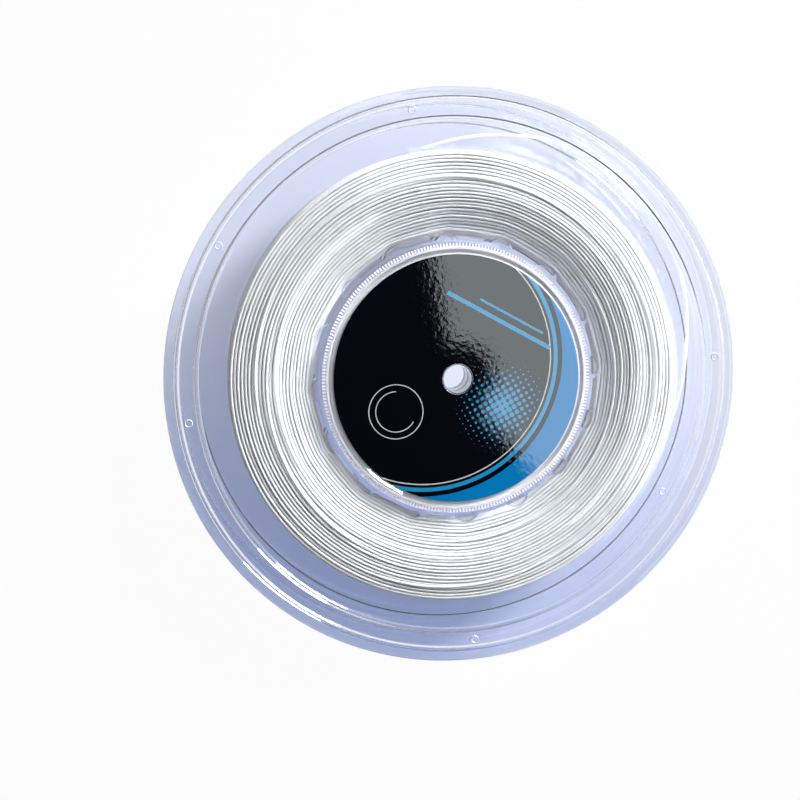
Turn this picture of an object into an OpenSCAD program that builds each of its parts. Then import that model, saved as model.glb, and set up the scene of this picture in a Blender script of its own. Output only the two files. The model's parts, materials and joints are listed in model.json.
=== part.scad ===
// String reel for racket string: two clear flanges pressed on to a ribbed drum,
// a round label in the hub of each flange, and a full winding of monofilament
// string whose outer end lies loose between the flanges.
//
// Frame: the reel lies on the rim of its rear flange. The origin is on the
// spindle axis in the plane of that rim, and +Z points out of the front label.
// Millimetres.

/* [Flanges] */
// Outer diameter of both flanges
flange_d = 250; // [230:1:280]
// Wall of the flanges
flange_wall = 1.5; // [1:0.1:2]
// Clear width between the flanges, which the string fills
winding_w = 19; // [14:0.5:30]
// Width of the outer lip of the rim
lip_w = 4.7; // [3.5:0.1:7]
// Width of the band between the two steps of the rim
band_w = 8.1; // [6:0.1:10]
// Height of each step of the rim
step_h = 1.2; // [0.6:0.1:2]
// Slope of each step, measured along the radius
step_draft = 0.4; // [0.2:0.1:0.8]

/* [Pin marks] */
// Number of ejector pin marks on each flange
mark_count = 4; // [2:1:8]
// Diameter of an ejector pin mark
mark_d = 3.2; // [2:0.1:5]
// Width of the fine groove round a mark
mark_groove = 0.4; // [0.2:0.1:0.6]
// Depth of that groove
mark_depth = 0.3; // [0.1:0.1:0.6]
// Turn of the front marks about the spindle axis, in degrees
front_mark_turn = 7; // [0:1:89]
// Turn of the rear marks about the spindle axis, in degrees
rear_mark_turn = 61; // [0:1:89]

/* [Hub] */
// Diameter of the spindle bore
bore_d = 12.4; // [8:0.1:20]
// Wall of the collar round the spindle bore
collar_wall = 2; // [1.2:0.1:4]
// Diameter of the drum between its ribs
drum_d = 121.2; // [118:0.2:124]
// Wall of the drum between its ribs
drum_wall = 1.6; // [1:0.1:2.5]
// Number of ribs round the drum
rib_count = 16; // [8:1:24]
// Height of a drum rib
rib_h = 3; // [2:0.1:4.5]
// Width of a drum rib at its foot
rib_w = 10; // [8:0.5:14]
// Turn of the ribs about the spindle axis, in degrees
rib_turn = 4.5; // [0:0.5:22]
// Length of the spigot that each flange presses into the drum
spigot_l = 4; // [2:0.5:6]
// Wall of that spigot
spigot_wall = 1.6; // [1:0.1:2.5]

/* [Labels] */
// Width of the clear ring between a label's edge and the outside of the drum
hub_rim_w = 6.6; // [6.2:0.1:20]
// Thickness of a label
label_t = 0.2; // [0.1:0.1:0.5]
// Depth of the seat that a label lies in
seat_depth = 1; // [0.6:0.1:1.4]

/* [String] */
// Diameter of the string
string_d = 1.3; // [1:0.05:1.5]
// Outer diameter of the winding
winding_d = 197.4; // [180:0.2:204]
// Rounding of the winding's front edge, at the middle of the outer turns
winding_round = 3; // [2:0.5:5]
// Depth of the dip in each side of the winding, at the drum
dip_depth = 4; // [0:0.5:6]
// Width of the flat part of each side, from the dip to the outside
flat_w = 13.7; // [10:0.5:20]
// Turns of the outer layer that are modelled one by one
turn_count = 24; // [12:1:24]
// Radius of the bend where the string leaves the drum
start_bend = 1.5; // [1.3:0.1:3]

/* [Fits] */
// Gap between a spigot and the bore of the drum
spigot_gap = 0.05; // [0.02:0.01:0.2]
// Gap round a label, in its seat and at the spindle bore
label_gap = 0.6; // [0.3:0.1:1]
// Gap between the string and what it lies on
string_gap = 0.05; // [0.02:0.01:0.2]

/* [Hidden] */
$fn = 128;

// Radii
flange_r = flange_d / 2;
lip_r = flange_r - lip_w;
band_r = lip_r - band_w;
mark_ring_r = (lip_r + band_r) / 2;
bore_r = bore_d / 2;
drum_r = drum_d / 2;
drum_inner_r = drum_r - drum_wall;
spigot_r = drum_inner_r - spigot_gap;
crest_r = drum_r + rib_h;
label_r = drum_r - hub_rim_w;
seat_r = label_r + label_gap;

// Heights above the middle plane of the reel
inner_z = winding_w / 2;
outer_z = inner_z + flange_wall;
seat_z = outer_z - seat_depth;
rim_z = outer_z + 2 * step_h;
// Height of the middle plane above the rim that the reel lies on
middle_z = rim_z;

// The outer layer of string, as the middle line of its tube
string_r = string_d / 2;
turn_r = winding_d / 2 - string_r;
turn_z = inner_z - string_r - string_gap;
start_r = crest_r + string_gap;
first_r = start_r + string_d + start_bend;
face_run = turn_r - winding_round - first_r;
round_run = winding_round * PI / 2;
side_run = 2 * turn_z - winding_round;
dip_r = winding_d / 2 - flat_w;
dip_steps = 7;
steps_per_turn = 24;
turn_sides = 6;
// Angle at which the string leaves the drum and at which its loose end starts
root_angle = 319.5;

// The loose end: angle, distance from the spindle axis, and height above the
// rim that the reel lies on. It lies on the rear flange's inner face and runs
// down over the step of the rim and up again.
tail_route = [
    [319.5, 98.05, 4.6], [328, 99, 4.6], [338, 102.5, 4.6], [348, 106, 4.6],
    [358, 108.5, 4.6], [366, 110.4, 4.6], [372, 112.4, 4.6], [378, 114.6, 3.5],
    [386, 117, 3.4], [395, 118.4, 3.4], [405, 118.4, 3.4], [415, 116.8, 3.4],
    [421, 115, 3.4], [426, 113.4, 4.5], [431, 111.4, 4.6], [440, 107.8, 4.6],
    [450, 103.6, 4.6], [458, 100.2, 4.6]
];
tail_sides = 8;
tail_steps = 4;

// ---- Helpers ----

function polar(a, r, z) = [r * cos(a), r * sin(a), z];

function unit(v) = v / norm(v);

// A point on the smooth curve through p1 and p2, with p0 before and p3 after
function through(p0, p1, p2, p3, t) = 0.5 * (2 * p1 + (p2 - p0) * t
    + (2 * p0 - 5 * p1 + 4 * p2 - p3) * t * t
    + (3 * p1 - p0 - 3 * p2 + p3) * t * t * t);

function smooth_path(points, steps) = let (n = len(points)) [
    for (i = [0 : n - 2], k = [0 : steps - 1])
        through(points[max(i - 1, 0)], points[i], points[i + 1],
            points[min(i + 2, n - 1)], k / steps),
    points[n - 1]
];

// Direction of a path at point i
function heading(path, i) =
    unit(path[min(i + 1, len(path) - 1)] - path[max(i - 1, 0)]);

// A round tube along a path that never runs straight up
module tube(path, radius, sides) {
    n = len(path);
    points = [
        for (i = [0 : n - 1])
            let (ahead = heading(path, i), side = unit(cross(ahead, [0, 0, 1])),
                up = cross(side, ahead))
            for (k = [0 : sides - 1])
                let (a = 360 * (k + 0.5) / sides)
                path[i] + radius * (cos(a) * side + sin(a) * up)
    ];
    walls = [
        for (i = [0 : n - 2], k = [0 : sides - 1])
            let (a = i * sides + k, b = i * sides + (k + 1) % sides)
            each [[a, b, b + sides], [a, b + sides, a + sides]]
    ];
    last = (n - 1) * sides;
    ends = [
        for (k = [1 : sides - 2])
            each [[0, k + 1, k], [last, last + k, last + k + 1]]
    ];
    polyhedron(points, concat(walls, ends));
}

// A ring about the spindle axis
module ring(outer_r, inner_r, z, height) {
    translate([0, 0, z])
        difference() {
            cylinder(r = outer_r, h = height);
            translate([0, 0, -1]) cylinder(r = inner_r, h = height + 2);
        }
}

// Puts a child that is made about the middle plane at its height
module at_middle() {
    translate([0, 0, middle_z]) children();
}

// ---- Flanges ----

// Half section of a flange, as radius and height above the middle plane
function flange_section() =
    let (half = flange_wall / 2, lip_inner_z = inner_z + 2 * step_h,
        plate_z = inner_z - seat_depth)
    concat(
        // outer face, from the bore to the lip
        [[bore_r, seat_z], [seat_r, seat_z], [seat_r + seat_depth, outer_z],
            [band_r - half - step_draft, outer_z], [band_r - half, outer_z + step_h],
            [lip_r - half - step_draft, outer_z + step_h], [lip_r - half, rim_z]],
        // round edge of the lip
        [for (a = [90 : -22.5 : -90])
            [flange_r - half + half * cos(a), lip_inner_z + half + half * sin(a)]],
        // inner face, from the lip to the bore
        [[lip_r + half, lip_inner_z], [lip_r + half - step_draft, inner_z + step_h],
            [band_r + half, inner_z + step_h], [band_r + half - step_draft, inner_z],
            [seat_r + seat_depth + half, inner_z], [seat_r + half, plate_z],
            [bore_r, plate_z]]
    );

// A flange above the middle plane, with the turn of its pin marks
module flange(mark_turn) {
    difference() {
        union() {
            rotate_extrude() polygon(flange_section());
            // spigot that presses into the drum
            ring(spigot_r, spigot_r - spigot_wall, inner_z - spigot_l,
                spigot_l + flange_wall / 2);
            // collar round the bore, which meets the other flange's collar
            ring(bore_r + collar_wall, bore_r, 0, seat_z - flange_wall / 2);
        }
        for (i = [0 : mark_count - 1])
            rotate(mark_turn + 360 * i / mark_count)
                translate([mark_ring_r, 0, outer_z + step_h - mark_depth])
                    difference() {
                        cylinder(d = mark_d, h = mark_depth + 1, $fn = 32);
                        translate([0, 0, -1])
                            cylinder(d = mark_d - 2 * mark_groove,
                                h = mark_depth + 3, $fn = 32);
                    }
    }
}

module front_flange() {
    color([0.78, 0.81, 0.94, 0.45])
        at_middle() flange(front_mark_turn);
}

module rear_flange() {
    color([0.74, 0.77, 0.92, 0.45])
        at_middle() mirror([0, 0, 1]) flange(rear_mark_turn);
}

// ---- Drum ----

// Outline of the drum: a rounded rib, then the plain drum up to the next rib
function drum_outline() =
    let (
        // circle of a rib, rib_w wide where it stands rib_h high
        rib_r = (rib_w * rib_w / 4 + rib_h * rib_h) / (2 * rib_h),
        rib_centre = crest_r - rib_r,
        // half of the arc that stands out of the drum, about the rib's centre
        half_arc = acos((drum_r * drum_r - rib_centre * rib_centre - rib_r * rib_r)
            / (2 * rib_centre * rib_r)),
        foot = atan2(rib_r * sin(half_arc), rib_centre + rib_r * cos(half_arc)),
        pitch = 360 / rib_count
    )
    [for (i = [0 : rib_count - 1]) each concat(
        [for (k = [-5 : 5])
            let (a = half_arc * k / 5, x = rib_centre + rib_r * cos(a),
                y = rib_r * sin(a), turn = rib_turn + i * pitch)
            [x * cos(turn) - y * sin(turn), x * sin(turn) + y * cos(turn)]],
        [for (k = [1 : 3])
            let (a = rib_turn + i * pitch + foot + (pitch - 2 * foot) * k / 4)
            [drum_r * cos(a), drum_r * sin(a)]]
    )];

// Tube between the flanges, with rounded ribs that carry the string
module hub_drum() {
    color([0.80, 0.80, 0.92, 0.6])
        at_middle() translate([0, 0, -inner_z])
            difference() {
                linear_extrude(height = winding_w) polygon(drum_outline());
                translate([0, 0, -1]) cylinder(r = drum_inner_r, h = winding_w + 2);
            }
}

// ---- Labels ----

// A label in the seat of the upper flange
module label() {
    ring(label_r, bore_r + label_gap, seat_z, label_t);
}

module front_label() {
    color([0.02, 0.04, 0.09])
        at_middle() label();
}

module rear_label() {
    color([0.02, 0.04, 0.09])
        at_middle() mirror([0, 0, 1]) label();
}

// ---- String ----

// How far each side of the winding lies below its flat part, at a distance from
// the spindle axis. The string settles most near the drum.
function dip(r) = r < dip_r ? dip_depth * pow((dip_r - r) / (dip_r - start_r), 2) : 0;

// Slope of the dip there, in degrees
function dip_slope(r) =
    r < dip_r ? atan(2 * dip_depth * (dip_r - r) / pow(dip_r - start_r, 2)) : 0;

// The inner layers as one ring. Its outer faces lie inside the flats of the
// outer layer's turns, which run from step to step.
module string_core() {
    seat = string_r + string_gap;
    core_r = turn_r * cos(180 / steps_per_turn) - seat;
    core_z = turn_z - seat;
    rear_z = -inner_z + string_gap;
    corner = winding_round - seat;
    dip_rs = [for (k = [0 : dip_steps]) start_r + (dip_r - start_r) * k / dip_steps];
    color([0.88, 0.90, 0.89])
        at_middle() rotate_extrude()
            polygon(concat(
                [for (r = dip_rs) [r, rear_z + dip(r)]],
                [[core_r, rear_z]],
                [for (a = [0 : 15 : 90])
                    [core_r - corner + corner * cos(a),
                        core_z - corner + corner * sin(a)]],
                [for (k = [dip_steps : -1 : 0])
                    let (r = dip_rs[k])
                    [r, turn_z - dip(r) - seat / cos(dip_slope(r))]]
            ));
}

// Distance from the spindle axis and height above the middle plane, after a run
// outward over the front face, round its edge and back down the outside
function layer_place(run) =
    run < face_run ? [first_r + run, turn_z - dip(first_r + run)]
    : run < face_run + round_run
        ? let (a = 90 * (1 - (run - face_run) / round_run))
            [turn_r - winding_round + winding_round * cos(a),
                turn_z - winding_round + winding_round * sin(a)]
        : [turn_r, turn_z - winding_round - (run - face_run - round_run)];

// The string leaves the crest of a rib square to it and bends into the first turn
function layer_start() = let (out = polar(root_angle, 1, 0), on = polar(root_angle + 90, 1, 0))
    concat(
        [start_r * out],
        [for (a = [0 : 30 : 90])
            (start_r + string_d + start_bend * sin(a)) * out
                + start_bend * (1 - cos(a)) * on]
    );

// One unbroken string: over the front face from the drum to the edge, then down
// the outside to the rear flange, where its loose end starts
function layer_path() = let (steps = turn_count * steps_per_turn,
        pitch = (face_run + round_run + side_run) / steps)
    concat(
        [for (p = layer_start()) p + [0, 0, turn_z - dip(first_r)]],
        [for (i = [1 : steps - 1])
            let (place = layer_place(i * pitch))
            polar(root_angle + 360 * i / steps_per_turn, place[0], place[1])],
        [for (back = [string_d, 0])
            polar(root_angle, turn_r, -turn_z) - back * polar(root_angle + 90, 1, 0)]
    );

// Least clear gap between one turn and the next, measured on the path's points
function least_gap(path) = min([
    for (i = [0 : len(path) - 1],
        j = [i + steps_per_turn / 2 : 1 : min(i + 2 * steps_per_turn, len(path) - 1)])
        norm(path[i] - path[j]) - string_d
]);

module string_turns() {
    color([0.95, 0.96, 0.95])
        at_middle() tube(layer_path(), string_r, turn_sides);
}

// The loose outer end, laid in the gap between the flanges
module string_tail() {
    route = [for (p = tail_route) polar(p[0], p[1], p[2])];
    color([0.95, 0.96, 0.95])
        tube(smooth_path(route, tail_steps), string_r, tail_sides);
}

echo(least_gap_between_turns_mm = least_gap(layer_path()));

front_flange();
rear_flange();
hub_drum();
front_label();
rear_label();
string_core();
string_turns();
string_tail();
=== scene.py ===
# %% [markdown]
# # A string reel
# Two clear moulded flanges are pressed on to a ribbed drum, and the space
# between them is full of white monofilament. A round glossy label sits in the
# hub of each flange. The construction comes in ready made as a frame, which
# says where every piece is. This script gives each piece its look: clear
# plastic with real rounded steps, string that is really wound turn by turn,
# and a laminated label.
#
# The frame is loaded first, and its outer box is printed before anything is
# added.

# %% The frame
import json
import math

import bpy
import numpy as np
from mathutils import Matrix, Vector


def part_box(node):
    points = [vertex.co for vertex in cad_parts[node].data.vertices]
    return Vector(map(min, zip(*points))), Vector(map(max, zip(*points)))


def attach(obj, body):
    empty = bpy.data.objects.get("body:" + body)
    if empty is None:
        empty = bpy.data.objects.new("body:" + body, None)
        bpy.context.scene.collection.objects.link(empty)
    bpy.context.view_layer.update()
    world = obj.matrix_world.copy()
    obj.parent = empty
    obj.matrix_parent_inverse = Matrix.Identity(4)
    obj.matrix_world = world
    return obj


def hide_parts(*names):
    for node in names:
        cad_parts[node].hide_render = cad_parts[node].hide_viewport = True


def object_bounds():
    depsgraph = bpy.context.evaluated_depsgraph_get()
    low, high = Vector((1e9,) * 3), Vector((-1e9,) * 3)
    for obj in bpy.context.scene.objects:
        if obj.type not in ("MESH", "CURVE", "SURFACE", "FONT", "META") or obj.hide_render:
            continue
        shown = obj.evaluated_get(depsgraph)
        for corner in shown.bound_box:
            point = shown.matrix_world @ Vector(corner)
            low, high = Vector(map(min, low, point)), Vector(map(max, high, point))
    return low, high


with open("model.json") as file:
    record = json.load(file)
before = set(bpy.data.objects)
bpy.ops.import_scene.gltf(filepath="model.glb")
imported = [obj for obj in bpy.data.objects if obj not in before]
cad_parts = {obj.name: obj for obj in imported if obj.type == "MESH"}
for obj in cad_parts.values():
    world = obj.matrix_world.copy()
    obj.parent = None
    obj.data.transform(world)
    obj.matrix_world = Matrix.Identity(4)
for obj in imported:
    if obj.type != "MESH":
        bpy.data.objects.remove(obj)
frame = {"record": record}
frame_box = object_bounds()
MM = 0.001
print("frame box in mm:", [[round(c / MM, 1) for c in corner] for corner in frame_box])

# %% [markdown]
# ## The camera
# The photograph looks at the front label from above, a little from the upper
# left. Its rims are seen from about 0.6 m: the rear rim looks smaller than the
# front one. A camera can be built from that: a direction, a distance and a
# scale. The lens shift puts the spindle axis where the photograph has it.

# %% The camera
PHOTO_SIDE = 800  # px
AXIS_IN_PHOTO = (453.8, 376.4)  # px, the middle of the reel
PX_PER_MM = 2.266
VIEW_DISTANCE = 600 * MM
VIEW_TILT = math.radians(12)
VIEW_SIDE = math.radians(147)
SENSOR = 36

middle = Vector((0, 0, frame_box[1].z / 2))
tilt_axis = Vector((-math.sin(VIEW_SIDE), math.cos(VIEW_SIDE), 0))
view_turn = Matrix.Rotation(VIEW_TILT, 3, tilt_axis)
camera_place = middle + view_turn @ Vector((0, 0, VIEW_DISTANCE))

camera_data = bpy.data.cameras.new("camera")
camera_data.sensor_width = SENSOR
camera_data.lens = SENSOR * PX_PER_MM * VIEW_DISTANCE / MM / PHOTO_SIDE
camera_data.shift_x = 0.5 - AXIS_IN_PHOTO[0] / PHOTO_SIDE
camera_data.shift_y = AXIS_IN_PHOTO[1] / PHOTO_SIDE - 0.5
camera_data.clip_start = 0.01
camera = bpy.data.objects.new("camera", camera_data)
camera.matrix_world = Matrix.Translation(camera_place) @ view_turn.to_4x4()
bpy.context.scene.collection.objects.link(camera)
bpy.context.scene.camera = camera
bpy.context.scene.view_settings.view_transform = "Standard"
print("lens in mm:", round(camera_data.lens, 1))

# %% [markdown]
# ## Sizes
# Everything follows the frame. What a box can't say, such as the steps of the
# rim, is named here in millimetres, as on a drawing. Heights are measured from
# the middle plane of the reel.

# %% Sizes
WALL = 1.5
LIP_W = 4.7
BAND_W = 8.1
STEP_H = 1.2
DRUM_R = 60.6
RIB_H = 3.0
LABEL_R = 54.0
STRING_D = 1.3
WINDING_R = 98.7
DIP_R = 85.0
DIP_DEPTH = 4.0

middle_z = middle.z / MM
flange_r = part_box("front_flange")[1].x / MM
inner_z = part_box("hub_drum")[1].z / MM - middle_z
outer_z = inner_z + WALL
seat_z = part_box("front_label")[0].z / MM - middle_z
label_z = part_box("front_label")[1].z / MM - middle_z
bore_r = frame["record"]["mounts"][0]["dims"]["r_mm"]
crest_r = DRUM_R + RIB_H
lip_r = flange_r - LIP_W
band_r = lip_r - BAND_W
print("flange radius", round(flange_r, 2), "half gap", round(inner_z, 2), "bore", bore_r)

# %% [markdown]
# ## Mesh helpers
# Nearly every piece of a reel is turned about one axis, so most meshes are a
# section swept round. Corners of a section get a small radius: in clear plastic
# it is these radii that catch the light. A vertex is added close to each side
# of a corner, so that smooth shading stays inside the corner.


# %% Mesh helpers
def new_piece(name, points, faces, material, smooth_to=40):
    """A mesh object in metres from points in millimetres above the rim."""
    mesh = bpy.data.meshes.new(name)
    mesh.from_pydata((np.asarray(points, float) * MM).tolist(), [], faces)
    mesh.validate()
    mesh.shade_smooth()
    mesh.set_sharp_from_angle(angle=math.radians(smooth_to))
    mesh.materials.append(material)
    piece = bpy.data.objects.new(name, mesh)
    bpy.context.scene.collection.objects.link(piece)
    return piece


def dress(piece, slot, *nodes):
    """Hides the solids that a piece stands for and hangs it on the root body. The slot is not
    used.
    """
    if nodes:
        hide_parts(*nodes)
    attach(piece, "root")
    return piece


def rounded(section, steps=4, guard=0.12):
    """The closed section with each (x, z, radius) corner rounded."""
    points = []
    count = len(section)
    for i, (x, z, radius) in enumerate(section):
        corner = np.array((x, z), float)
        before = np.array(section[i - 1][:2], float) - corner
        after = np.array(section[(i + 1) % count][:2], float) - corner
        reach_before, reach_after = np.linalg.norm(before), np.linalg.norm(after)
        before, after = before / reach_before, after / reach_after
        if radius <= 0:
            points.append(corner)
            continue
        half = math.acos(max(-1, min(1, float(before @ after)))) / 2
        run = min(radius / math.tan(half), 0.45 * reach_before, 0.45 * reach_after)
        radius = run * math.tan(half)
        inward = (before + after) / np.linalg.norm(before + after)
        centre = corner + inward * radius / math.sin(half)
        start, end = corner + before * run, corner + after * run
        if reach_before > 6 * (run + guard):
            points.append(start + before * guard)
        a0, a1 = (math.atan2(*(p - centre)[::-1]) for p in (start, end))
        sweep = (a1 - a0 + math.pi) % (2 * math.pi) - math.pi
        for k in range(steps + 1):
            a = a0 + sweep * k / steps
            points.append(centre + radius * np.array((math.cos(a), math.sin(a))))
        if reach_after > 6 * (run + guard):
            points.append(end + after * guard)
    return points


def finely(section, longest):
    """The closed section with long straight runs cut into shorter ones."""
    points = []
    for i, start in enumerate(section):
        step = np.asarray(section[(i + 1) % len(section)]) - start
        count = max(1, math.ceil(np.linalg.norm(step) / longest))
        points += [start + step * k / count for k in range(count)]
    return points


def turned(section, flip=False, rings=288, shift=None):
    """Points and faces of a closed section of (radius, height) swept round."""
    side = -1 if flip else 1
    points = []
    for i in range(rings):
        a = 2 * math.pi * i / rings
        for r, z in section:
            if shift:
                z += shift(r, a)
            points.append((r * math.cos(a), r * math.sin(a), middle_z + side * z))
    n = len(section)
    faces = []
    for i in range(rings):
        here, there = i * n, (i + 1) % rings * n
        for k in range(n):
            following = (k + 1) % n
            face = (here + k, there + k, there + following, here + following)
            faces.append(face if flip else face[::-1])
    return points, faces


def walled_ring(outline, inside, low, high, inward=False):
    """Points and faces of a flat ring whose outer or inner edge is an outline."""
    points = []
    for i, r in enumerate(outline):
        a = 2 * math.pi * i / len(outline)
        near, far = (r, inside) if inward else (inside, r)
        for radius, z in ((near, low), (far, low), (far, high), (near, high)):
            points.append((radius * math.cos(a), radius * math.sin(a), middle_z + z))
    faces = []
    for i in range(len(outline)):
        here, there = 4 * i, 4 * ((i + 1) % len(outline))
        for k in range(4):
            following = (k + 1) % 4
            faces.append((here + k, there + k, there + following, here + following))
    return points, faces


def tube(path, radius, sides=8):
    """Points and faces of a round tube along a path that never runs straight up."""
    path = np.asarray(path, float)
    ahead = np.gradient(path, axis=0)
    ahead /= np.linalg.norm(ahead, axis=1)[:, None]
    side = np.cross(ahead, (0, 0, 1))
    side /= np.linalg.norm(side, axis=1)[:, None]
    up = np.cross(side, ahead)
    turns = 2 * math.pi * (np.arange(sides) + 0.5) / sides
    points = (
        path[:, None, :]
        + radius * np.cos(turns)[None, :, None] * side[:, None, :]
        + radius * np.sin(turns)[None, :, None] * up[:, None, :]
    ).reshape(-1, 3)
    faces = []
    for i in range(len(path) - 1):
        for k in range(sides):
            a, b = i * sides + k, i * sides + (k + 1) % sides
            faces.append((a, b, b + sides, a + sides))
    last = (len(path) - 1) * sides
    faces.append(tuple(range(sides))[::-1])
    faces.append(tuple(range(last, last + sides)))
    return points, faces


# %% [markdown]
# ## Shader helpers
# A material is a small graph. Three short functions keep the graphs readable:
# one makes a node with its values, one does arithmetic, and one starts a
# material with its Principled shader.


# %% Shader helpers
def add_node(tree, kind, **values):
    """A node of that kind, with its properties and its input values or links."""
    node = tree.nodes.new(kind)
    for name, value in values.items():
        if hasattr(node, name):
            setattr(node, name, value)
            continue
        socket = node.inputs[name.replace("_", " ")]
        if isinstance(value, bpy.types.NodeSocket):
            tree.links.new(value, socket)
        else:
            socket.default_value = value
    return node


def compute(tree, operation, *values, clamp=False):
    """The result of a Math node."""
    node = tree.nodes.new("ShaderNodeMath")
    node.operation = operation
    node.use_clamp = clamp
    for socket, value in zip(node.inputs, values):
        if isinstance(value, bpy.types.NodeSocket):
            tree.links.new(value, socket)
        else:
            socket.default_value = value
    return node.outputs[0]


def mix_shaders(tree, share, first, second):
    """The result of a Mix Shader node."""
    mix = tree.nodes.new("ShaderNodeMixShader")
    tree.links.new(share, mix.inputs[0])
    tree.links.new(first, mix.inputs[1])
    tree.links.new(second, mix.inputs[2])
    return mix.outputs[0]


def new_material(name):
    """A material with its tree, Principled shader and output."""
    material = bpy.data.materials.new(name)
    material.use_nodes = True
    tree = material.node_tree
    return material, tree, tree.nodes["Principled BSDF"], tree.nodes["Material Output"]


def new_group(name, inputs, outputs):
    """An empty node group with named sockets, and its two end nodes."""
    group = bpy.data.node_groups.new(name, "ShaderNodeTree")
    for socket, kind, value in inputs:
        made = group.interface.new_socket(socket, in_out="INPUT", socket_type=kind)
        made.default_value = value
    for socket, kind in outputs:
        group.interface.new_socket(socket, in_out="OUTPUT", socket_type=kind)
    return group, group.nodes.new("NodeGroupInput"), group.nodes.new("NodeGroupOutput")


def place_group(tree, group, **values):
    """A group's node in a material, with its values."""
    node = tree.nodes.new("ShaderNodeGroup")
    node.node_tree = group
    for name, value in values.items():
        node.inputs[name.replace("_", " ")].default_value = value
    return node


# %% [markdown]
# ## Ripple and wear, shared by all finishes
# Moulded plastic and laminated paper are never quite flat. One group gives a
# gentle ripple as a height, at any scale. A second group gives a mask of fine
# hairline scratches and dust, which makes a gloss a little rougher where it is
# worn. Both read the object's own coordinates, so nothing slides in other
# views.

# %% Ripple and wear
ripple_group, ripple_in, ripple_out = new_group(
    "surface_ripple",
    [("Size mm", "NodeSocketFloat", 5.0), ("Roughness", "NodeSocketFloat", 0.5)],
    [("Height", "NodeSocketFloat")],
)
where = add_node(ripple_group, "ShaderNodeTexCoord").outputs["Object"]
per_metre = compute(ripple_group, "DIVIDE", 1 / MM, ripple_in.outputs["Size mm"])
waves = add_node(ripple_group, "ShaderNodeTexNoise", Vector=where, Scale=per_metre, Detail=3.0)
ripple_group.links.new(ripple_in.outputs["Roughness"], waves.inputs["Roughness"])
ripple_group.links.new(waves.outputs["Fac"], ripple_out.inputs["Height"])

wear_group, wear_in, wear_out = new_group(
    "surface_wear",
    [("Amount", "NodeSocketFloat", 0.5), ("Size mm", "NodeSocketFloat", 12.0)],
    [("Mask", "NodeSocketFloat")],
)
where = add_node(wear_group, "ShaderNodeTexCoord").outputs["Object"]
per_metre = compute(wear_group, "DIVIDE", 1 / MM, wear_in.outputs["Size mm"])
patches = add_node(wear_group, "ShaderNodeTexNoise", Vector=where, Scale=per_metre, Detail=4.0)
stretched = add_node(wear_group, "ShaderNodeMapping", Vector=where, Scale=(9.0, 1.0, 1.0))
hairs = add_node(
    wear_group, "ShaderNodeTexNoise", Vector=stretched.outputs[0], Scale=per_metre, Detail=6.0
)
hair_lines = compute(wear_group, "GREATER_THAN", hairs.outputs["Fac"], 0.64)
worn = compute(wear_group, "SUBTRACT", patches.outputs["Fac"], 0.45, clamp=True)
worn = compute(wear_group, "MULTIPLY", worn, wear_in.outputs["Amount"])
hair_share = compute(wear_group, "MULTIPLY", hair_lines, wear_in.outputs["Amount"])
hair_share = compute(wear_group, "MULTIPLY", hair_share, 0.15)
wear_group.links.new(
    compute(wear_group, "ADD", worn, hair_share, clamp=True), wear_out.inputs["Mask"]
)

# %% [markdown]
# ## Clear plastic
# The flanges are clear polystyrene with a faint lavender tint. Glass is a
# Principled shader with full transmission; its colour tints what is seen
# through a wall. Real clear plastic lets lamplight pass, which a ray tracer
# doesn't do for glass, so rays from lamps meet a plain transparent shader. So
# do rays that have been reflected twice: in a real wall they are carried on and
# leave it somewhere, and here they would otherwise end as black lines.


# %% Clear plastic
def clear_plastic(name, tint, shadow_tint, ripple_mm, ripple_height, rough=0.015):
    """Glass with a ripple and slight wear that lets lamplight through."""
    material, tree, shader, output = new_material(name)
    shader.inputs["Base Color"].default_value = (*tint, 1)
    shader.inputs["Transmission Weight"].default_value = 1
    shader.inputs["IOR"].default_value = 1.59
    wear = place_group(tree, wear_group, Amount=0.35, Size_mm=14.0)
    roughness = compute(tree, "MULTIPLY_ADD", wear.outputs["Mask"], 0.2, rough)
    tree.links.new(roughness, shader.inputs["Roughness"])
    ripple = place_group(tree, ripple_group, Size_mm=ripple_mm, Roughness=0.6)
    bump = add_node(tree, "ShaderNodeBump", Strength=1.0, Distance=ripple_height * MM)
    tree.links.new(ripple.outputs["Height"], bump.inputs["Height"])
    tree.links.new(bump.outputs["Normal"], shader.inputs["Normal"])
    light_path = add_node(tree, "ShaderNodeLightPath")
    trapped = compute(tree, "GREATER_THAN", light_path.outputs["Glossy Depth"], 1.5)
    lamp_ray = compute(tree, "MAXIMUM", light_path.outputs["Is Shadow Ray"], trapped)
    clear = add_node(tree, "ShaderNodeBsdfTransparent", Color=(*shadow_tint, 1))
    mixed = mix_shaders(tree, lamp_ray, shader.outputs[0], clear.outputs[0])
    tree.links.new(mixed, output.inputs["Surface"])
    return material


FLANGE_TINT = (0.90, 0.915, 0.975)
LAMP_TINT = (0.97, 0.975, 0.99)
flange_plastic = clear_plastic("flange_plastic", FLANGE_TINT, LAMP_TINT, 26.0, 0.05)
frosted_plastic = clear_plastic("frosted_plastic", (0.76, 0.76, 0.85), LAMP_TINT, 1.1, 0.12, 0.2)
satin_plastic = clear_plastic("satin_plastic", (0.98, 0.98, 1.0), LAMP_TINT, 1.1, 0.04, 0.2)
for plastic in (frosted_plastic, satin_plastic):
    plastic.node_tree.nodes["Principled BSDF"].inputs["Transmission Weight"].default_value = 0.2
shader = satin_plastic.node_tree.nodes["Principled BSDF"]
shader.inputs["Coat Weight"].default_value = 1.0
shader.inputs["Coat IOR"].default_value = 1.8
shader.inputs["Coat Roughness"].default_value = 0.08
drum_plastic = clear_plastic("drum_plastic", (0.88, 0.89, 0.97), LAMP_TINT, 3.0, 0.08, 0.04)

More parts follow.
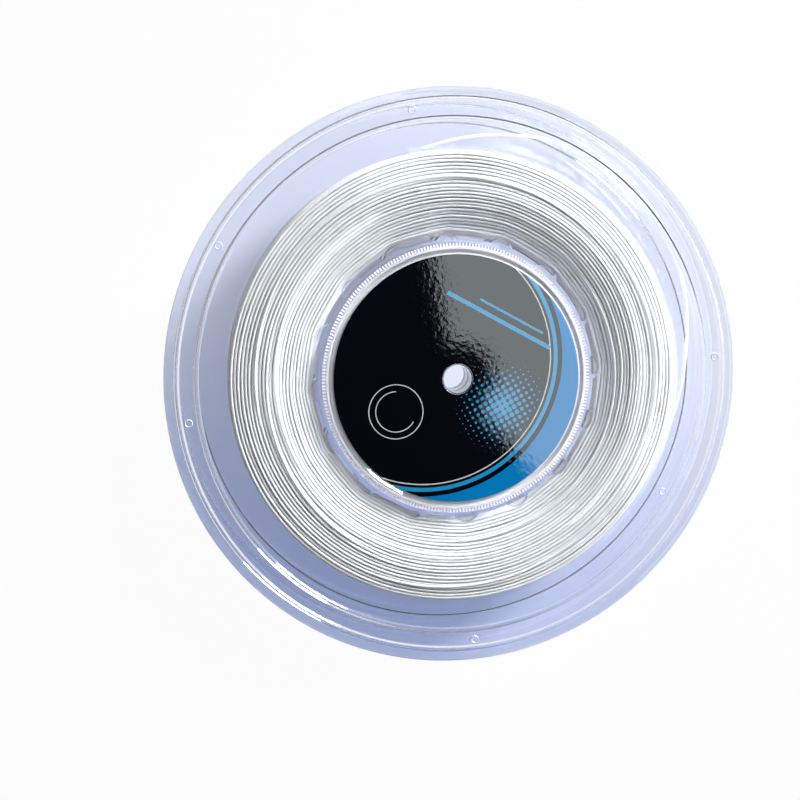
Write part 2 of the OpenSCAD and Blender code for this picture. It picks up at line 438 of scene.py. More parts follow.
# %% [markdown]
# ## Flanges
# Each flange is one moulding: a flat web, two steps that stiffen the rim, a
# round lip, a shallow seat for the label, a spigot that presses into the drum
# and a collar round the spindle. All of that is one section, swept round. The
# rear flange is the same section upside down.
#
# A full winding pushes the thin web outward, while the drum and the stepped rim
# hold it. The web therefore bulges by about two millimetres, a little more in
# some places than in others. That slope is what bends the reflections in the
# photograph into arcs round the axis. It is given as slopes at a few radii,
# because a slope says directly where the reflection goes, and the height is
# their running sum.
#
# The label's seat is satin under a gloss coat, and the spigot's walls are
# frosted, so those faces get their own material slots.

# %% Flanges
SEAT_GAP = 0.6
COLLAR_WALL = 2.0
SPIGOT_L = 4.0
SPIGOT_WALL = 1.6
DRUM_WALL = 1.6
DRAFT = 0.9
BULGE_SLOPES = [
    (56.5, 0), (57.5, 0.075), (74, 0.082), (76.5, 0.134), (81, 0.136), (84, 0),
    (86.5, -0.15), (97, -0.15), (99, -0.045), (110, -0.04), (110.6, 0),
]

drum_inner_r = DRUM_R - DRUM_WALL
seat_r = LABEL_R + SEAT_GAP
seat_depth = outer_z - seat_z
spigot_r = drum_inner_r - 0.05
collar_r = bore_r + COLLAR_WALL
rim_z = outer_z + 2 * STEP_H

REAR_SHARE = 0.3
bulge_r = np.linspace(BULGE_SLOPES[0][0], BULGE_SLOPES[-1][0], 200)
bulge_slope = np.interp(bulge_r, *zip(*BULGE_SLOPES))
bulge_z = np.cumsum(bulge_slope) * (bulge_r[1] - bulge_r[0])
bulge_z -= bulge_z[-1] * np.linspace(0, 1, len(bulge_r))
print("bulge of the web:", round(float(bulge_z.max()), 2), "mm")


def bulge(r, angle=0.0):
    """How far the front web is pushed outward there, in millimetres."""
    height = float(np.interp(r, bulge_r, bulge_z, left=0, right=0))
    uneven = 1 + 0.05 * math.sin(2 * angle + 0.6) + 0.03 * math.sin(5 * angle + 2.1)
    return min(height * uneven, 2 * STEP_H - 0.05)


def rear_bulge(r, angle=0.0):
    """The same for the rear web, which the table holds back."""
    return REAR_SHARE * bulge(r, angle + 1.0)


def flange_section():
    """Closed section as (radius, height, corner radius)."""
    half = WALL / 2
    return [
        # outer face, from the bore to the lip
        (bore_r, seat_z, 0.4),
        (seat_r, seat_z, 0.25),
        (seat_r + seat_depth, outer_z, 0.5),
        (band_r - half - DRAFT, outer_z, 0.4),
        (band_r - half, outer_z + STEP_H, 1.2),
        (lip_r - half - DRAFT, outer_z + STEP_H, 0.4),
        (lip_r - half, rim_z, 1.2),
        # lip
        (flange_r, rim_z, 0.7),
        (flange_r, rim_z - WALL, 0.7),
        # inner face, from the lip to the bore
        (lip_r + half, inner_z + 2 * STEP_H, 0.4),
        (lip_r + half - DRAFT, inner_z + STEP_H, 1.2),
        (band_r + half, inner_z + STEP_H, 0.4),
        (band_r + half - DRAFT, inner_z, 1.2),
        (spigot_r, inner_z, 0.15),
        (spigot_r, inner_z - SPIGOT_L, 0.3),
        (spigot_r - SPIGOT_WALL, inner_z - SPIGOT_L, 0.3),
        (spigot_r - SPIGOT_WALL, inner_z, 0.15),
        (seat_r + seat_depth + half, inner_z, 0.3),
        (seat_r + half, inner_z - seat_depth, 0.4),
        (collar_r, inner_z - seat_depth, 0.5),
        (collar_r, 0.02, 0.2),
        (bore_r, 0.02, 0.2),
    ]


def make_flange(name, node, flip, shift):
    section = finely(rounded(flange_section()), 1.5)
    flange = new_piece(name, *turned(section, flip, shift=shift), flange_plastic, 50)
    flange.data.materials.append(frosted_plastic)
    flange.data.materials.append(satin_plastic)
    for face in flange.data.polygons:
        r = math.hypot(face.center.x, face.center.y) / MM
        height = abs(face.center.z / MM - middle_z)
        if spigot_r - SPIGOT_WALL - 0.1 < r < spigot_r + 0.1 and height < inner_z - 0.05:
            face.material_index = 1
        elif LABEL_R - 1 < r < spigot_r - SPIGOT_WALL and height < inner_z + 0.02:
            face.material_index = 2
    return dress(flange, "clear_plastic", node)


make_flange("front_flange_shell", "front_flange", False, bulge)
make_flange("rear_flange_shell", "rear_flange", True, rear_bulge)

# %% [markdown]
# ## Serrated rings
# Just inside the drum, the photograph shows a band of fine teeth: a serrated
# ring in the corner between each spigot and the flange, which stiffens the
# spigot where it is pressed home. Its top is a zigzag of small roofs, one long
# strip of mesh, with a frosted finish that makes the teeth read as fine specks.

# %% Serrated rings
TOOTH_COUNT = 260
TOOTH_H = 0.25
TEETH_H = 1.2
TEETH_W = 1.5

teeth_r = spigot_r - 0.05


def serrated_ring(name, side):
    """A ring whose top is a zigzag of small roofs, as one piece."""
    points, faces = [], []
    count = 2 * TOOTH_COUNT
    for i in range(count):
        a = 2 * math.pi * i / count
        high = inner_z - 0.05 - TOOTH_H * (i % 2)
        low = inner_z - 0.05 - TEETH_H
        for r, z in (
            (teeth_r - TEETH_W, low), (teeth_r, low), (teeth_r, high), (teeth_r - TEETH_W, high),
        ):
            points.append((r * math.cos(a), r * math.sin(a), middle_z + side * z))
        for k in range(4):
            here, there = 4 * i, 4 * ((i + 1) % count)
            following = (k + 1) % 4
            face = (here + k, there + k, there + following, here + following)
            faces.append(face[::-side])
    return dress(new_piece(name, points, faces, frosted_plastic, smooth_to=10), "clear_plastic")


serrated_ring("front_serrated_ring", 1)
serrated_ring("rear_serrated_ring", -1)

# %% [markdown]
# ## Pin marks
# The pins that push a moulding out of its tool leave small circles in the rim.
# Each is a low round ring between the two steps of the rim, and its edge is
# frosted, as it is where a pin has rubbed. The angles of the front four were
# read from the photograph. The rear four are guessed from one mark that seems
# to be on the rear rim, and stand at right angles to each other.

# %% Pin marks
MARK_R = 1.5
MARK_LINE = 0.3
FRONT_MARK_TURNS = (4.5, 100.5, 188.6, 274.1)
REAR_MARK_TURNS = (61, 151, 241, 331)
mark_ring_r = (lip_r + band_r) / 2


def mark_ring(name, turns, side):
    """Four small tori on the band of a rim, as one piece."""
    points, faces = [], []
    around, across = 32, 8
    for turn in turns:
        place = math.radians(turn)
        cx, cy = mark_ring_r * math.cos(place), mark_ring_r * math.sin(place)
        start = len(points)
        for i in range(around):
            a = 2 * math.pi * i / around
            for k in range(across):
                b = 2 * math.pi * k / across
                r = MARK_R + MARK_LINE * math.cos(b)
                z = side * (outer_z + STEP_H + 0.02 + MARK_LINE + MARK_LINE * math.sin(b))
                points.append((cx + r * math.cos(a), cy + r * math.sin(a), middle_z + z))
        for i in range(around):
            for k in range(across):
                here, there = start + i * across, start + (i + 1) % around * across
                following = (k + 1) % across
                face = (here + k, there + k, there + following, here + following)
                faces.append(face[::-side])
    return dress(new_piece(name, points, faces, frosted_plastic, 80), "clear_plastic")


mark_ring("front_pin_marks", FRONT_MARK_TURNS, 1)
mark_ring("rear_pin_marks", REAR_MARK_TURNS, -1)

# %% [markdown]
# ## Drum
# The string sits on sixteen rounded ribs. The outline is a circle with a bump
# at every rib, computed from the rib's height and the width of its foot. A hair
# of air stays between the drum and the flanges, because two clear pieces whose
# faces lie in one plane can't be told apart by a ray.

# %% Drum
RIB_COUNT = 16
RIB_TURN = math.radians(4.5)
RIB_W = 10.0
RIB_PITCH = 2 * math.pi / RIB_COUNT
END_GAP = 0.04
rib_radius = (RIB_W**2 / 4 + RIB_H**2) / (2 * RIB_H)
rib_centre = crest_r - rib_radius


def off_rib(angle):
    """The angle from the nearest rib."""
    return (angle - RIB_TURN + RIB_PITCH / 2) % RIB_PITCH - RIB_PITCH / 2


def drum_radius(angle):
    """Radius of the drum's outline at an angle."""
    off = off_rib(angle)
    reach = rib_radius**2 - (rib_centre * math.sin(off)) ** 2
    rib = rib_centre * math.cos(off) + math.sqrt(reach) if reach > 0 else 0
    return max(rib, DRUM_R)


outline = [drum_radius(2 * math.pi * i / 640) for i in range(640)]
drum = walled_ring(outline, drum_inner_r, -inner_z + END_GAP, inner_z - END_GAP)
dress(new_piece("drum", *drum, drum_plastic), "drum_plastic", "hub_drum")

# %% [markdown]
# ## String
# Monofilament is smooth, white and a little waxy. Light enters it, so that the
# gaps between turns are grey-green and never black. Subsurface scattering does
# that, over a satin gloss. Its white is a little warm, which the lavender of the
# flange turns into neutral.

# %% String finish
string_white, tree, shader, _ = new_material("string_monofilament")
shader.inputs["Roughness"].default_value = 0.42
shader.inputs["IOR"].default_value = 1.45
shader.inputs["Specular IOR Level"].default_value = 0.35
shader.inputs["Subsurface Weight"].default_value = 0.9
shader.inputs["Subsurface Radius"].default_value = (1.0, 1.0, 0.9)
shader.inputs["Subsurface Scale"].default_value = 1.1 * MM
tone = place_group(tree, ripple_group, Size_mm=7.0, Roughness=0.5)
shades = add_node(tree, "ShaderNodeValToRGB")
shades.color_ramp.elements[0].position = 0.3
shades.color_ramp.elements[0].color = (0.79, 0.80, 0.745, 1)
shades.color_ramp.elements[1].position = 0.7
shades.color_ramp.elements[1].color = (0.88, 0.89, 0.835, 1)
tree.links.new(tone.outputs["Height"], shades.inputs["Fac"])
tree.links.new(shades.outputs["Color"], shader.inputs["Base Color"])
grain = place_group(tree, ripple_group, Size_mm=0.6, Roughness=0.6)
bump = add_node(tree, "ShaderNodeBump", Strength=0.3, Distance=0.03 * MM)
tree.links.new(grain.outputs["Height"], bump.inputs["Height"])
tree.links.new(bump.outputs["Normal"], shader.inputs["Normal"])

# %% [markdown]
# ## The winding
# A machine winds the string to and fro across the drum. What shows is the side
# of the pack against each flange and its outside. One unbroken string makes the
# front side and the outside: it leaves the drum, spirals outward, turns over
# the edge and winds down the outside. Slow waves along its length, small and
# never repeating, give the uneven gaps of a real pack. Under it, and on the
# rear side, more turns are laid the same way, and a plain bed closes what is
# left.
#
# Near the drum the side of the pack dips, and on the ribs the first turns are
# not round: they run nearly straight from crest to crest. That wave fades out
# over the next layers.

# %% Winding paths
STRING_R = STRING_D / 2
PITCH_AT_DRUM = 1.36
PITCH_OUTSIDE = 1.62
EDGE_ROUND = 1.4
STEPS_PER_TURN = 120
LIFT = 0.25  # at most, where the bulged web leaves room
LIFT_SHARE = 0.45  # of the bulge
SAG = 1.25
SAG_FADE = 6.0
side_z = inner_z - STRING_R - 0.05
outer_turn_r = WINDING_R - STRING_R
root_angle = math.radians(319.5)


def slow_wave(along, seed, rates=(0.31, 0.77, 1.43, 2.61, 4.3)):
    """A smooth wave of about unit height along the winding, in turns."""
    draw = np.random.default_rng(seed)
    total = np.zeros_like(along)
    for rate in rates:
        total += draw.uniform(0.5, 1) * np.sin(
            2 * math.pi * rate * along + draw.uniform(0, 2 * math.pi)
        )
    return total / 2.2


def rib_sag(angle, r):
    """How far a turn at that radius drops between two ribs."""
    between = 1 - (1 - np.abs(off_rib(angle)) / (RIB_PITCH / 2)) ** 2
    return SAG * between * np.exp(-np.maximum(0, r - crest_r) / SAG_FADE)


def side_profile(first_r, inset, with_outside):
    """The line of turns over one side of the pack, as radius, height, facing."""
    edge = EDGE_ROUND - inset
    last_r = outer_turn_r - inset
    rs = np.arange(first_r, last_r - edge, 0.25)
    dip = np.where(rs < DIP_R, DIP_DEPTH * ((DIP_R - rs) / (DIP_R - crest_r)) ** 2, 0)
    lift = np.array([min(LIFT, LIFT_SHARE * bulge(r)) for r in rs])
    zs = side_z - inset - dip + lift
    turn = np.linspace(0, math.pi / 2, 12)
    rs = np.append(rs, last_r - edge + edge * np.sin(turn))
    zs = np.append(zs, zs[-1] - edge * (1 - np.cos(turn)))
    if with_outside:
        downs = np.arange(zs[-1] - 0.25, -side_z, -0.25)
        rs = np.append(rs, np.full(len(downs), last_r))
        zs = np.append(zs, downs)
    return rs, zs


def pack_path(first_r, inset, shift, seed, wave_r, wave_z, with_outside=True):
    """A string wound over the side of the pack, and over its outside."""
    rs, zs = side_profile(first_r, inset, with_outside)
    steps = np.hypot(np.diff(rs), np.diff(zs))
    run = np.append(0, np.cumsum(steps))
    growth = (PITCH_OUTSIDE - PITCH_AT_DRUM) / run[-1]
    turns_at = np.log1p(growth * run / PITCH_AT_DRUM) / growth
    turns = turns_at[-1]
    along = np.linspace(0, turns, int(turns * STEPS_PER_TURN) + 1)
    r, z = np.interp(along, turns_at, rs), np.interp(along, turns_at, zs)
    slope_r, slope_z = np.gradient(r), np.gradient(z)
    length = np.hypot(slope_r, slope_z) + 1e-9
    slope_r, slope_z = slope_r / length, slope_z / length
    angle = root_angle + 2 * math.pi * (along - turns + shift)
    depth = wave_z * (1 + slow_wave(along, seed)) / 2
    drift = wave_r * slow_wave(along, seed + 1)
    swing = 2.0 * wave_r * slow_wave(along, seed + 2, (1.02, 1.97, 3.04))
    r = r + slope_r * (drift + swing) + slope_z * depth
    z = z + slope_z * (drift + swing) - slope_r * depth
    r = r - rib_sag(angle, r)
    return np.stack((r * np.cos(angle), r * np.sin(angle), z), axis=1)


def lifted(path, flip=False):
    """A path about the middle plane at its height, mirrored for the rear side."""
    sign = np.array((1, 1, -1 if flip else 1))
    return path * sign + np.array((0, 0, middle_z))


def string_piece(name, path, *nodes, sides=8):
    """A piece of string along a path."""
    return dress(new_piece(name, *tube(path, STRING_R, sides), string_white, 80), "string", *nodes)


# %% [markdown]
# The outer layer starts just above the crests of the ribs. The layer under it
# is half a turn behind, so its turns show in the gaps of the outer one. The
# same seeds give the same waves on every run.

# %% The winding
front_path = pack_path(crest_r + STRING_R + 0.2, 0.0, 0.0, 11, 0.09, 0.3)
string_piece("string_outer_layer", lifted(front_path), "string_turns")
under_path = pack_path(crest_r + STRING_R + 0.7, 0.5, 0.5, 23, 0.09, 0.25)
string_piece("string_under_layer", lifted(under_path))
rear_path = pack_path(crest_r + STRING_R + 0.2, 0.0, 0.0, 37, 0.09, 0.3, with_outside=False)
string_piece("string_rear_layer", lifted(rear_path, flip=True))
print("turns drawn:", len(front_path) // STEPS_PER_TURN, "and", len(under_path) // STEPS_PER_TURN)

bed_depth = 1.9
dips = np.linspace(crest_r - 1.5, DIP_R, 9)
dip_line = [
    (r, side_z - bed_depth - DIP_DEPTH * ((DIP_R - r) / (DIP_R - crest_r)) ** 2) for r in dips
]
bed_r = outer_turn_r - bed_depth
bed = [(r, -z) for r, z in dip_line] + [(bed_r, -side_z + bed_depth)]
bed += [(bed_r, side_z - bed_depth - 1), (bed_r - 1, side_z - bed_depth)] + dip_line[::-1]
core = new_piece("string_inner_layers", *turned(bed), string_white)
dress(core, "string", "string_core")

# %% [markdown]
# ## Crossing strands
# Here and there a turn rides over its neighbours for a while and sinks back.
# Each strand follows the side of the pack one string higher, moves outward by a
# turn or two on its way, and dives under at both ends.

# %% Crossing strands
STRANDS = 9
draw = np.random.default_rng(5)
rs, zs = side_profile(crest_r + STRING_R, 0.0, False)
for i in range(STRANDS):
    r0 = draw.uniform(71, 93)
    start = draw.uniform(0, 2 * math.pi)
    span = draw.uniform(1.2, 3.4)
    outward = draw.choice((-1, 1)) * draw.uniform(1.4, 2.6)
    t = np.linspace(0, 1, int(span * 24))
    r = r0 + outward * t * t * (3 - 2 * t)
    ride = np.minimum(1, 5 * np.minimum(t, 1 - t)) ** 0.7
    z = np.interp(r, rs, zs) - 0.75 + 1.0 * ride
    angle = start + span * t
    strand = np.stack((r * np.cos(angle), r * np.sin(angle), z), axis=1)
    string_piece(f"string_crossing_{i + 1:02d}", lifted(strand))

# %% [markdown]
# ## The loose end
# The last turn lets go of the pack and springs outward between the flanges. It
# is a free piece of string, so its route is a list of given points, with a
# smooth curve through them.

# %% The loose end
TAIL_ROUTE = [
    (319.5, 98.05, 4.6), (328, 99, 4.6), (338, 102.5, 4.6), (348, 106, 4.6),
    (358, 108.5, 4.6), (366, 110.4, 4.6), (372, 112.4, 4.6), (378, 114.6, 3.5),
    (386, 117, 3.4), (395, 118.4, 3.4), (405, 118.4, 3.4), (415, 116.8, 3.4),
    (421, 115, 3.4), (426, 113.4, 4.5), (431, 111.4, 4.6), (440, 107.8, 4.6),
    (450, 103.6, 4.6), (458, 100.2, 4.6),
]


def smooth_path(points, steps):
    """A Catmull-Rom curve through the points."""
    p = np.asarray(points, float)
    p = np.vstack((p[:1], p, p[-1:]))
    t = np.arange(steps)[:, None] / steps
    runs = []
    for p0, p1, p2, p3 in zip(p, p[1:], p[2:], p[3:]):
        bend = 2 * p0 - 5 * p1 + 4 * p2 - p3
        twist = 3 * p1 - p0 - 3 * p2 + p3
        runs.append(0.5 * (2 * p1 + (p2 - p0) * t + bend * t**2 + twist * t**3))
    return np.vstack((*runs, p[-1:]))


tail_points = [
    (r * math.cos(math.radians(a)), r * math.sin(math.radians(a)), z) for a, r, z in TAIL_ROUTE
]
tail_path = smooth_path(tail_points, 12)
tail = string_piece("string_loose_end", tail_path, "string_tail", sides=12)

# %% [markdown]
# ## Labels
# A label is laminated paper: a print under a glossy film that is never quite
# flat. The film is the shader's coat, with a ripple of its own, so that the
# reflection of a lamp breaks up at its edge like the one in the photograph. The
# print is a plain design in black, azure and white: a crescent with two thin
# arcs beside it, a field of dots that shrink towards its edge, and two bars. It
# is drawn from the label's own coordinates. The back is bare white paper, which
# shows through the clear hub.

# %% Label print
label_print, tree, shader, _ = new_material("label_print")
where = add_node(tree, "ShaderNodeTexCoord").outputs["Object"]
split = add_node(tree, "ShaderNodeSeparateXYZ", Vector=where)
x = compute(tree, "DIVIDE", split.outputs["X"], MM)
y = compute(tree, "DIVIDE", split.outputs["Y"], MM)
BLACK = (0.0015, 0.0022, 0.005, 1)
AZURE = (0.0, 0.26, 0.66, 1)
SKY = (0.02, 0.36, 0.74, 1)
WHITE = (0.80, 0.82, 0.84, 1)


def rotated(angle, across=0.0):
    """The distance along a direction at that angle, from a line across it."""
    a = math.radians(angle)
    part = compute(tree, "MULTIPLY_ADD", x, math.cos(a), -across)
    return compute(tree, "MULTIPLY_ADD", y, math.sin(a), part)


def distance(px, py):
    """The distance from a point of the label, in millimetres."""
    dx = compute(tree, "SUBTRACT", x, px)
    dy = compute(tree, "SUBTRACT", y, py)
    squares = compute(tree, "MULTIPLY_ADD", dx, dx, compute(tree, "MULTIPLY", dy, dy))
    return compute(tree, "SQRT", squares)


def between(value, low, high):
    """1 where value lies from low to high."""
    above = compute(tree, "GREATER_THAN", value, low)
    below = compute(tree, "LESS_THAN", value, high)
    return compute(tree, "MULTIPLY", above, below)


def both(*masks):
    """1 where every mask is 1."""
    result = masks[0]
    for mask in masks[1:]:
        result = compute(tree, "MULTIPLY", result, mask)
    return result


def painted(colour, mask, over):
    """The colour where the mask is 1, else what is under it."""
    mix = tree.nodes.new("ShaderNodeMix")
    mix.data_type = "RGBA"
    tree.links.new(mask, mix.inputs[0])
    if isinstance(over, bpy.types.NodeSocket):
        tree.links.new(over, mix.inputs[6])
    else:
        mix.inputs[6].default_value = over
    mix.inputs[7].default_value = colour
    return mix.outputs[2]


# %% [markdown]
# The dots sit on a grid that is turned by 30 degrees. Each cell's own distance
# from its middle is compared with a dot radius, which falls off outward from
# the middle of the field.

# %% Label design
crescent = distance(-14, 9)
colour = painted(AZURE, compute(tree, "GREATER_THAN", crescent, 60.5), BLACK)
colour = painted(SKY, between(crescent, 56.6, 58.4), colour)
colour = painted(WHITE, between(crescent, 54.9, 55.4), colour)

DOT_PITCH = 2.6
cell_u = compute(tree, "WRAP", rotated(30), DOT_PITCH / 2, -DOT_PITCH / 2)
cell_v = compute(tree, "WRAP", rotated(120), DOT_PITCH / 2, -DOT_PITCH / 2)
cell = compute(tree, "MULTIPLY_ADD", cell_u, cell_u, compute(tree, "MULTIPLY", cell_v, cell_v))
cell = compute(tree, "SQRT", cell)
fade = compute(tree, "DIVIDE", distance(20, -12), 21)
dot_radius = compute(tree, "MULTIPLY_ADD", fade, -1.35, 1.45)
dots = compute(tree, "LESS_THAN", cell, dot_radius)
dots = both(dots, compute(tree, "LESS_THAN", crescent, 53.4))
colour = painted(SKY, dots, colour)

bar = rotated(62)
colour = painted(SKY, both(between(bar, 30, 31.8), between(rotated(152), -30, 22)), colour)
colour = painted(SKY, both(between(bar, 34.6, 35.6), between(rotated(152), -24, 8)), colour)
ring = distance(-27, -14)
colour = painted(WHITE, between(ring, 11.6, 12.0), colour)
colour = painted(WHITE, both(between(ring, 8.6, 9.0), between(rotated(30), -60, -26)), colour)
tree.links.new(colour, shader.inputs["Base Color"])

shader.inputs["Roughness"].default_value = 0.45
shader.inputs["Specular IOR Level"].default_value = 0.0
shader.inputs["Coat Weight"].default_value = 1.0
shader.inputs["Coat IOR"].default_value = 1.75
shader.inputs["Coat Roughness"].default_value = 0.03
peel = place_group(tree, ripple_group, Size_mm=2.2, Roughness=0.5)
bump = add_node(tree, "ShaderNodeBump", Strength=1.0, Distance=0.025 * MM)
tree.links.new(peel.outputs["Height"], bump.inputs["Height"])
tree.links.new(bump.outputs["Normal"], shader.inputs["Coat Normal"])
tree.links.new(bump.outputs["Normal"], shader.inputs["Normal"])

paper, tree, shader, _ = new_material("label_paper")
shader.inputs["Base Color"].default_value = (0.80, 0.80, 0.79, 1)
fibres = place_group(tree, ripple_group, Size_mm=0.5, Roughness=0.7)
roughness = compute(tree, "MULTIPLY_ADD", fibres.outputs["Height"], 0.2, 0.7)
tree.links.new(roughness, shader.inputs["Roughness"])
bump = add_node(tree, "ShaderNodeBump", Strength=0.5, Distance=0.02 * MM)
tree.links.new(fibres.outputs["Height"], bump.inputs["Height"])
tree.links.new(bump.outputs["Normal"], shader.inputs["Normal"])


# %% [markdown]
# Each label is a thin turned disc with a hole a little wider than the bore. Its
# outer face carries the print, and its inner face is bare paper.


# %% Labels
def make_label(name, node, flip):
    hole_r = bore_r + SEAT_GAP
    section = rounded(
        [
            (hole_r, seat_z + 0.02, 0),
            (hole_r, label_z, 0.08),
            (LABEL_R, label_z, 0.08),
            (LABEL_R, seat_z + 0.02, 0),
        ],
        steps=3,
    )
    label = new_piece(name, *turned(section[::-1], flip, rings=256), label_print)
    label.data.materials.append(paper)
    for face in label.data.polygons:
        if abs(face.center.z / MM - middle_z) < seat_z + 0.05:
            face.material_index = 1
    return dress(label, "label", node)


make_label("front_label_disc", "front_label", False)
make_label("rear_label_disc", "rear_label", True)

# %% [markdown]
# ## Floor
# The reel lies on a plain pale table. Round the reel the table is burnt out to
# white for the camera, as in the photograph. Under the reel the table carries a
# painted shadow of the reel: a lavender shade that deepens towards the lower
# left, away from the key light, as the clear plastic shows it there. In the hub
# a larger share of that colour is seen, a painted light that keeps the floor in
# the bore bright though the reel shades it. A share of the table is seen as it
# is lit, with the reel's real shadow.
# Light Path does this: rays from the camera, mirrors and glass see the colour,
# and light that bounces about sees the plain table.

# %% Floor
FLOOR = 3.0
SHADE_TURN = 78  # degrees, the way in which the shade gets lighter
SHADE_MIDDLE = (0.0049, -0.0032, 0)  # under the reel as the camera sees it
SHADE_EDGE = (0.1295, 0.131)
HUB_EDGE = (0.062, 0.066)
SHADE_RUN = (-0.125, 0.05)
GLOW_SHADED = 0.6  # share of the colour that is seen as it is, under the reel
GLOW_MORE = 0.36  # and what is added to that round the reel and in the hub
floor_mesh = bpy.data.meshes.new("floor")
floor_corners = [(-FLOOR, -FLOOR, 0), (FLOOR, -FLOOR, 0), (FLOOR, FLOOR, 0), (-FLOOR, FLOOR, 0)]
floor_mesh.from_pydata(floor_corners, [], [(0, 1, 2, 3)])
floor = bpy.data.objects.new("floor", floor_mesh)
bpy.context.scene.collection.objects.link(floor)
floor_material, tree, shader, output = new_material("floor_pale")
shader.inputs["Base Color"].default_value = (0.84, 0.85, 0.90, 1)
shader.inputs["Roughness"].default_value = 0.9
where = add_node(tree, "ShaderNodeTexCoord").outputs["Object"]
from_axis = add_node(tree, "ShaderNodeVectorMath", operation="DISTANCE")
tree.links.new(where, from_axis.inputs[0])
from_axis.inputs[1].default_value = SHADE_MIDDLE
split = add_node(tree, "ShaderNodeSeparateXYZ", Vector=where)
slope = compute(tree, "MULTIPLY", split.outputs["X"], math.cos(math.radians(SHADE_TURN)))
slope = compute(
    tree, "MULTIPLY_ADD", split.outputs["Y"], math.sin(math.radians(SHADE_TURN)), slope
)


def mapped(value, from_min, from_max, to_min, to_max):
    """A smooth step of a value."""
    node = add_node(tree, "ShaderNodeMapRange", interpolation_type="SMOOTHSTEP", Value=value)
    for name, number in (
        ("From Min", from_min), ("From Max", from_max), ("To Min", to_min), ("To Max", to_max),
    ):
        node.inputs[name].default_value = number
    return node.outputs["Result"]


radius = from_axis.outputs["Value"]
outside = mapped(radius, *SHADE_EDGE, 0, 1)
# Painted light in the hub: there the painted colour gets a larger share, so the floor in the bore
# stays bright where the reel shades it.
in_hub = mapped(radius, *HUB_EDGE, 1, 0)
# Painted shadow of the reel: the table colour goes from a deep lavender at the lower left to a
# pale one at the upper right.
shade = add_node(tree, "ShaderNodeMix", data_type="RGBA")
tree.links.new(mapped(slope, *SHADE_RUN, 0, 1), shade.inputs[0])
shade.inputs[6].default_value = (0.50, 0.60, 0.93, 1)
shade.inputs[7].default_value = (0.86, 0.90, 0.99, 1)
table = add_node(tree, "ShaderNodeMix", data_type="RGBA")
tree.links.new(outside, table.inputs[0])
tree.links.new(shade.outputs[2], table.inputs[6])
table.inputs[7].default_value = (1, 1, 1, 1)
light_path = add_node(tree, "ShaderNodeLightPath")
seen = compute(
    tree,
    "MAXIMUM",
    light_path.outputs["Is Camera Ray"],
    compute(
        tree,
        "MAXIMUM",
        light_path.outputs["Is Transmission Ray"],
        light_path.outputs["Is Glossy Ray"],
    ),
)
backdrop_or_hub_glow = compute(tree, "MAXIMUM", outside, in_hub)
share = compute(tree, "MULTIPLY_ADD", backdrop_or_hub_glow, GLOW_MORE, GLOW_SHADED)
seen = compute(tree, "MULTIPLY", seen, share)
direct = compute(tree, "LESS_THAN", light_path.outputs["Diffuse Depth"], 0.5)
seen = compute(tree, "MULTIPLY", seen, direct)
white = add_node(tree, "ShaderNodeEmission", Color=table.outputs[2], Strength=1.0)
mixed = mix_shaders(tree, seen, shader.outputs[0], white.outputs[0])
tree.links.new(mixed, output.inputs["Surface"])
floor_mesh.materials.append(floor_material)

# %% [markdown]
# ## Light
# The room is pale at eye level, more so on the right, and dark overhead, so that
# a black label looks black. A large soft box stands low on the upper right and
# models the turns of the string, and a weak one above it fills the gaps. Flat
# glowing panels hang overhead for reflections alone. A flat mirror such as the
# label shows the edge of a panel where the angle fits, and the bulged flange
# bends the same panels into arcs. The ends of the wide ones fade out.

# %% Light
KEY_SIDE = (0.743, 0.669, 0)  # the direction from which the room is brightest
KEY_PLACE = (2.17, 1.95, 0.62)
KEY_POWER = 225
FILL_PLACE = (1.5, 1.5, 2.1)
FILL_POWER = 20
PANEL_MIDDLE = (0.181, -0.118)
PANEL_Z = 1.02
PANEL_GLOW = 2.5
ROOM_LEVELS = [(0.001, 0.6), (0.15, 0.6), (0.35, 0.12), (0.6, 0.06), (0.94, 0.02)]

world = bpy.data.worlds.new("studio")
bpy.context.scene.world = world
world.use_nodes = True
tree = world.node_tree
background = tree.nodes["Background"]
direction = add_node(tree, "ShaderNodeTexCoord").outputs["Generated"]
height = add_node(tree, "ShaderNodeSeparateXYZ", Vector=direction).outputs["Z"]
room = add_node(tree, "ShaderNodeValToRGB", Fac=height)
room.color_ramp.interpolation = "EASE"
for place, level in ROOM_LEVELS:
    stop = room.color_ramp.elements.new(place)
    stop.color = (level, level, level, 1)
room.color_ramp.elements.remove(room.color_ramp.elements[-1])
room.color_ramp.elements.remove(room.color_ramp.elements[0])
light_path = add_node(tree, "ShaderNodeLightPath")
unlit = compute(tree, "LESS_THAN", light_path.outputs["Diffuse Depth"], 0.5)
through = compute(tree, "MULTIPLY", unlit, light_path.outputs["Is Transmission Ray"])
straight = compute(tree, "LESS_THAN", light_path.outputs["Glossy Depth"], 0.5)
through = compute(tree, "MULTIPLY", through, straight)
seen = compute(tree, "MAXIMUM", light_path.outputs["Is Camera Ray"], through)
towards_key = add_node(tree, "ShaderNodeVectorMath", operation="DOT_PRODUCT")
tree.links.new(direction, towards_key.inputs[0])
towards_key.inputs[1].default_value = KEY_SIDE
side_share = compute(tree, "MULTIPLY_ADD", towards_key.outputs["Value"], 0.6, 0.8)
level = compute(tree, "MULTIPLY", room.outputs["Color"], side_share)
level = compute(tree, "MAXIMUM", level, seen)
tree.links.new(level, background.inputs["Strength"])
background.inputs["Color"].default_value = (1, 1, 1, 1)


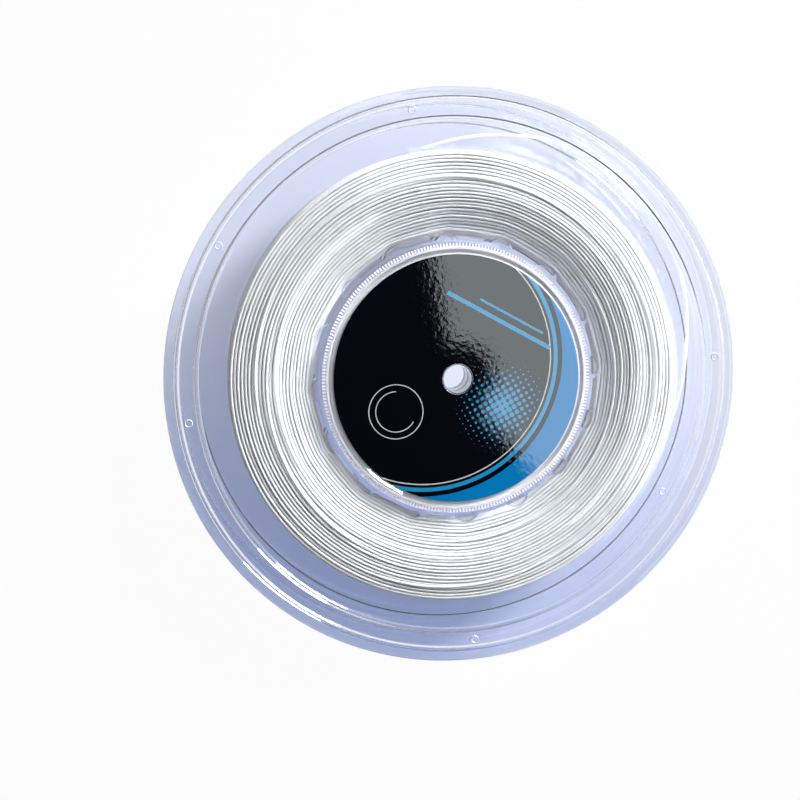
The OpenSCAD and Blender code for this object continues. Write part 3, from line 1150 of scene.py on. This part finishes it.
def softbox(name, place, size, power):
    """A rectangular lamp that looks at the reel."""
    data = bpy.data.lights.new(name, "AREA")
    data.shape = "RECTANGLE"
    data.size, data.size_y = size
    data.energy = power
    lamp = bpy.data.objects.new(name, data)
    lamp.location = place
    lamp.rotation_mode = "QUATERNION"
    lamp.rotation_quaternion = (-Vector(place)).to_track_quat("-Z", "Y")
    bpy.context.scene.collection.objects.link(lamp)
    return lamp


def panel(name, height, strength, sectors):
    """Flat glowing sectors that face down, as radii, angles and width of the faded ends."""
    points, faces, fades = [], [], []
    for r0, r1, a0, a1, faded in sectors:
        count = max(2, math.ceil((a1 - a0) / 4))
        for k in range(count):
            start = len(points)
            b0, b1 = (a0 + (a1 - a0) * (k + m) / count for m in (0, 1))
            for r, b in ((r0, b0), (r1, b0), (r1, b1), (r0, b1)):
                x = PANEL_MIDDLE[0] + r * math.cos(math.radians(b))
                y = PANEL_MIDDLE[1] + r * math.sin(math.radians(b))
                points.append((x, y, height))
                fades.append(min(1, (min(b - a0, a1 - b) + 0.01) / (faded + 0.01)))
            faces.append(tuple(range(start, start + 4)))
    mesh = bpy.data.meshes.new(name)
    mesh.from_pydata(points, [], faces)
    mesh.attributes.new("fade", "FLOAT", "POINT").data.foreach_set("value", fades)
    _, tree, _, output = new_material(name + "_glow")
    depth = add_node(tree, "ShaderNodeLightPath").outputs["Diffuse Depth"]
    level = compute(tree, "MULTIPLY", compute(tree, "LESS_THAN", depth, 0.5), strength)
    fade = add_node(tree, "ShaderNodeAttribute", attribute_name="fade")
    level = compute(tree, "MULTIPLY", level, fade.outputs["Fac"])
    glow = add_node(tree, "ShaderNodeEmission", Color=(0.88, 0.97, 1, 1), Strength=level)
    tree.links.new(glow.outputs[0], output.inputs["Surface"])
    mesh.materials.append(bpy.data.materials[name + "_glow"])
    piece = bpy.data.objects.new(name, mesh)
    piece.visible_diffuse = False
    bpy.context.scene.collection.objects.link(piece)
    return piece


softbox("key_softbox", KEY_PLACE, (1.0, 0.8), KEY_POWER)
fill = softbox("fill_softbox", FILL_PLACE, (1.2, 1.2), FILL_POWER)
fill.visible_glossy = False
panel(
    "overhead_panels",
    PANEL_Z,
    PANEL_GLOW,
    [
        (0.045, 0.25, -50, 102, 0), (0.41, 0.66, -38, 86, 14),
        (0.41, 0.66, 90, 120, 10), (0.361, 0.371, 2, 86, 10),
    ],
)
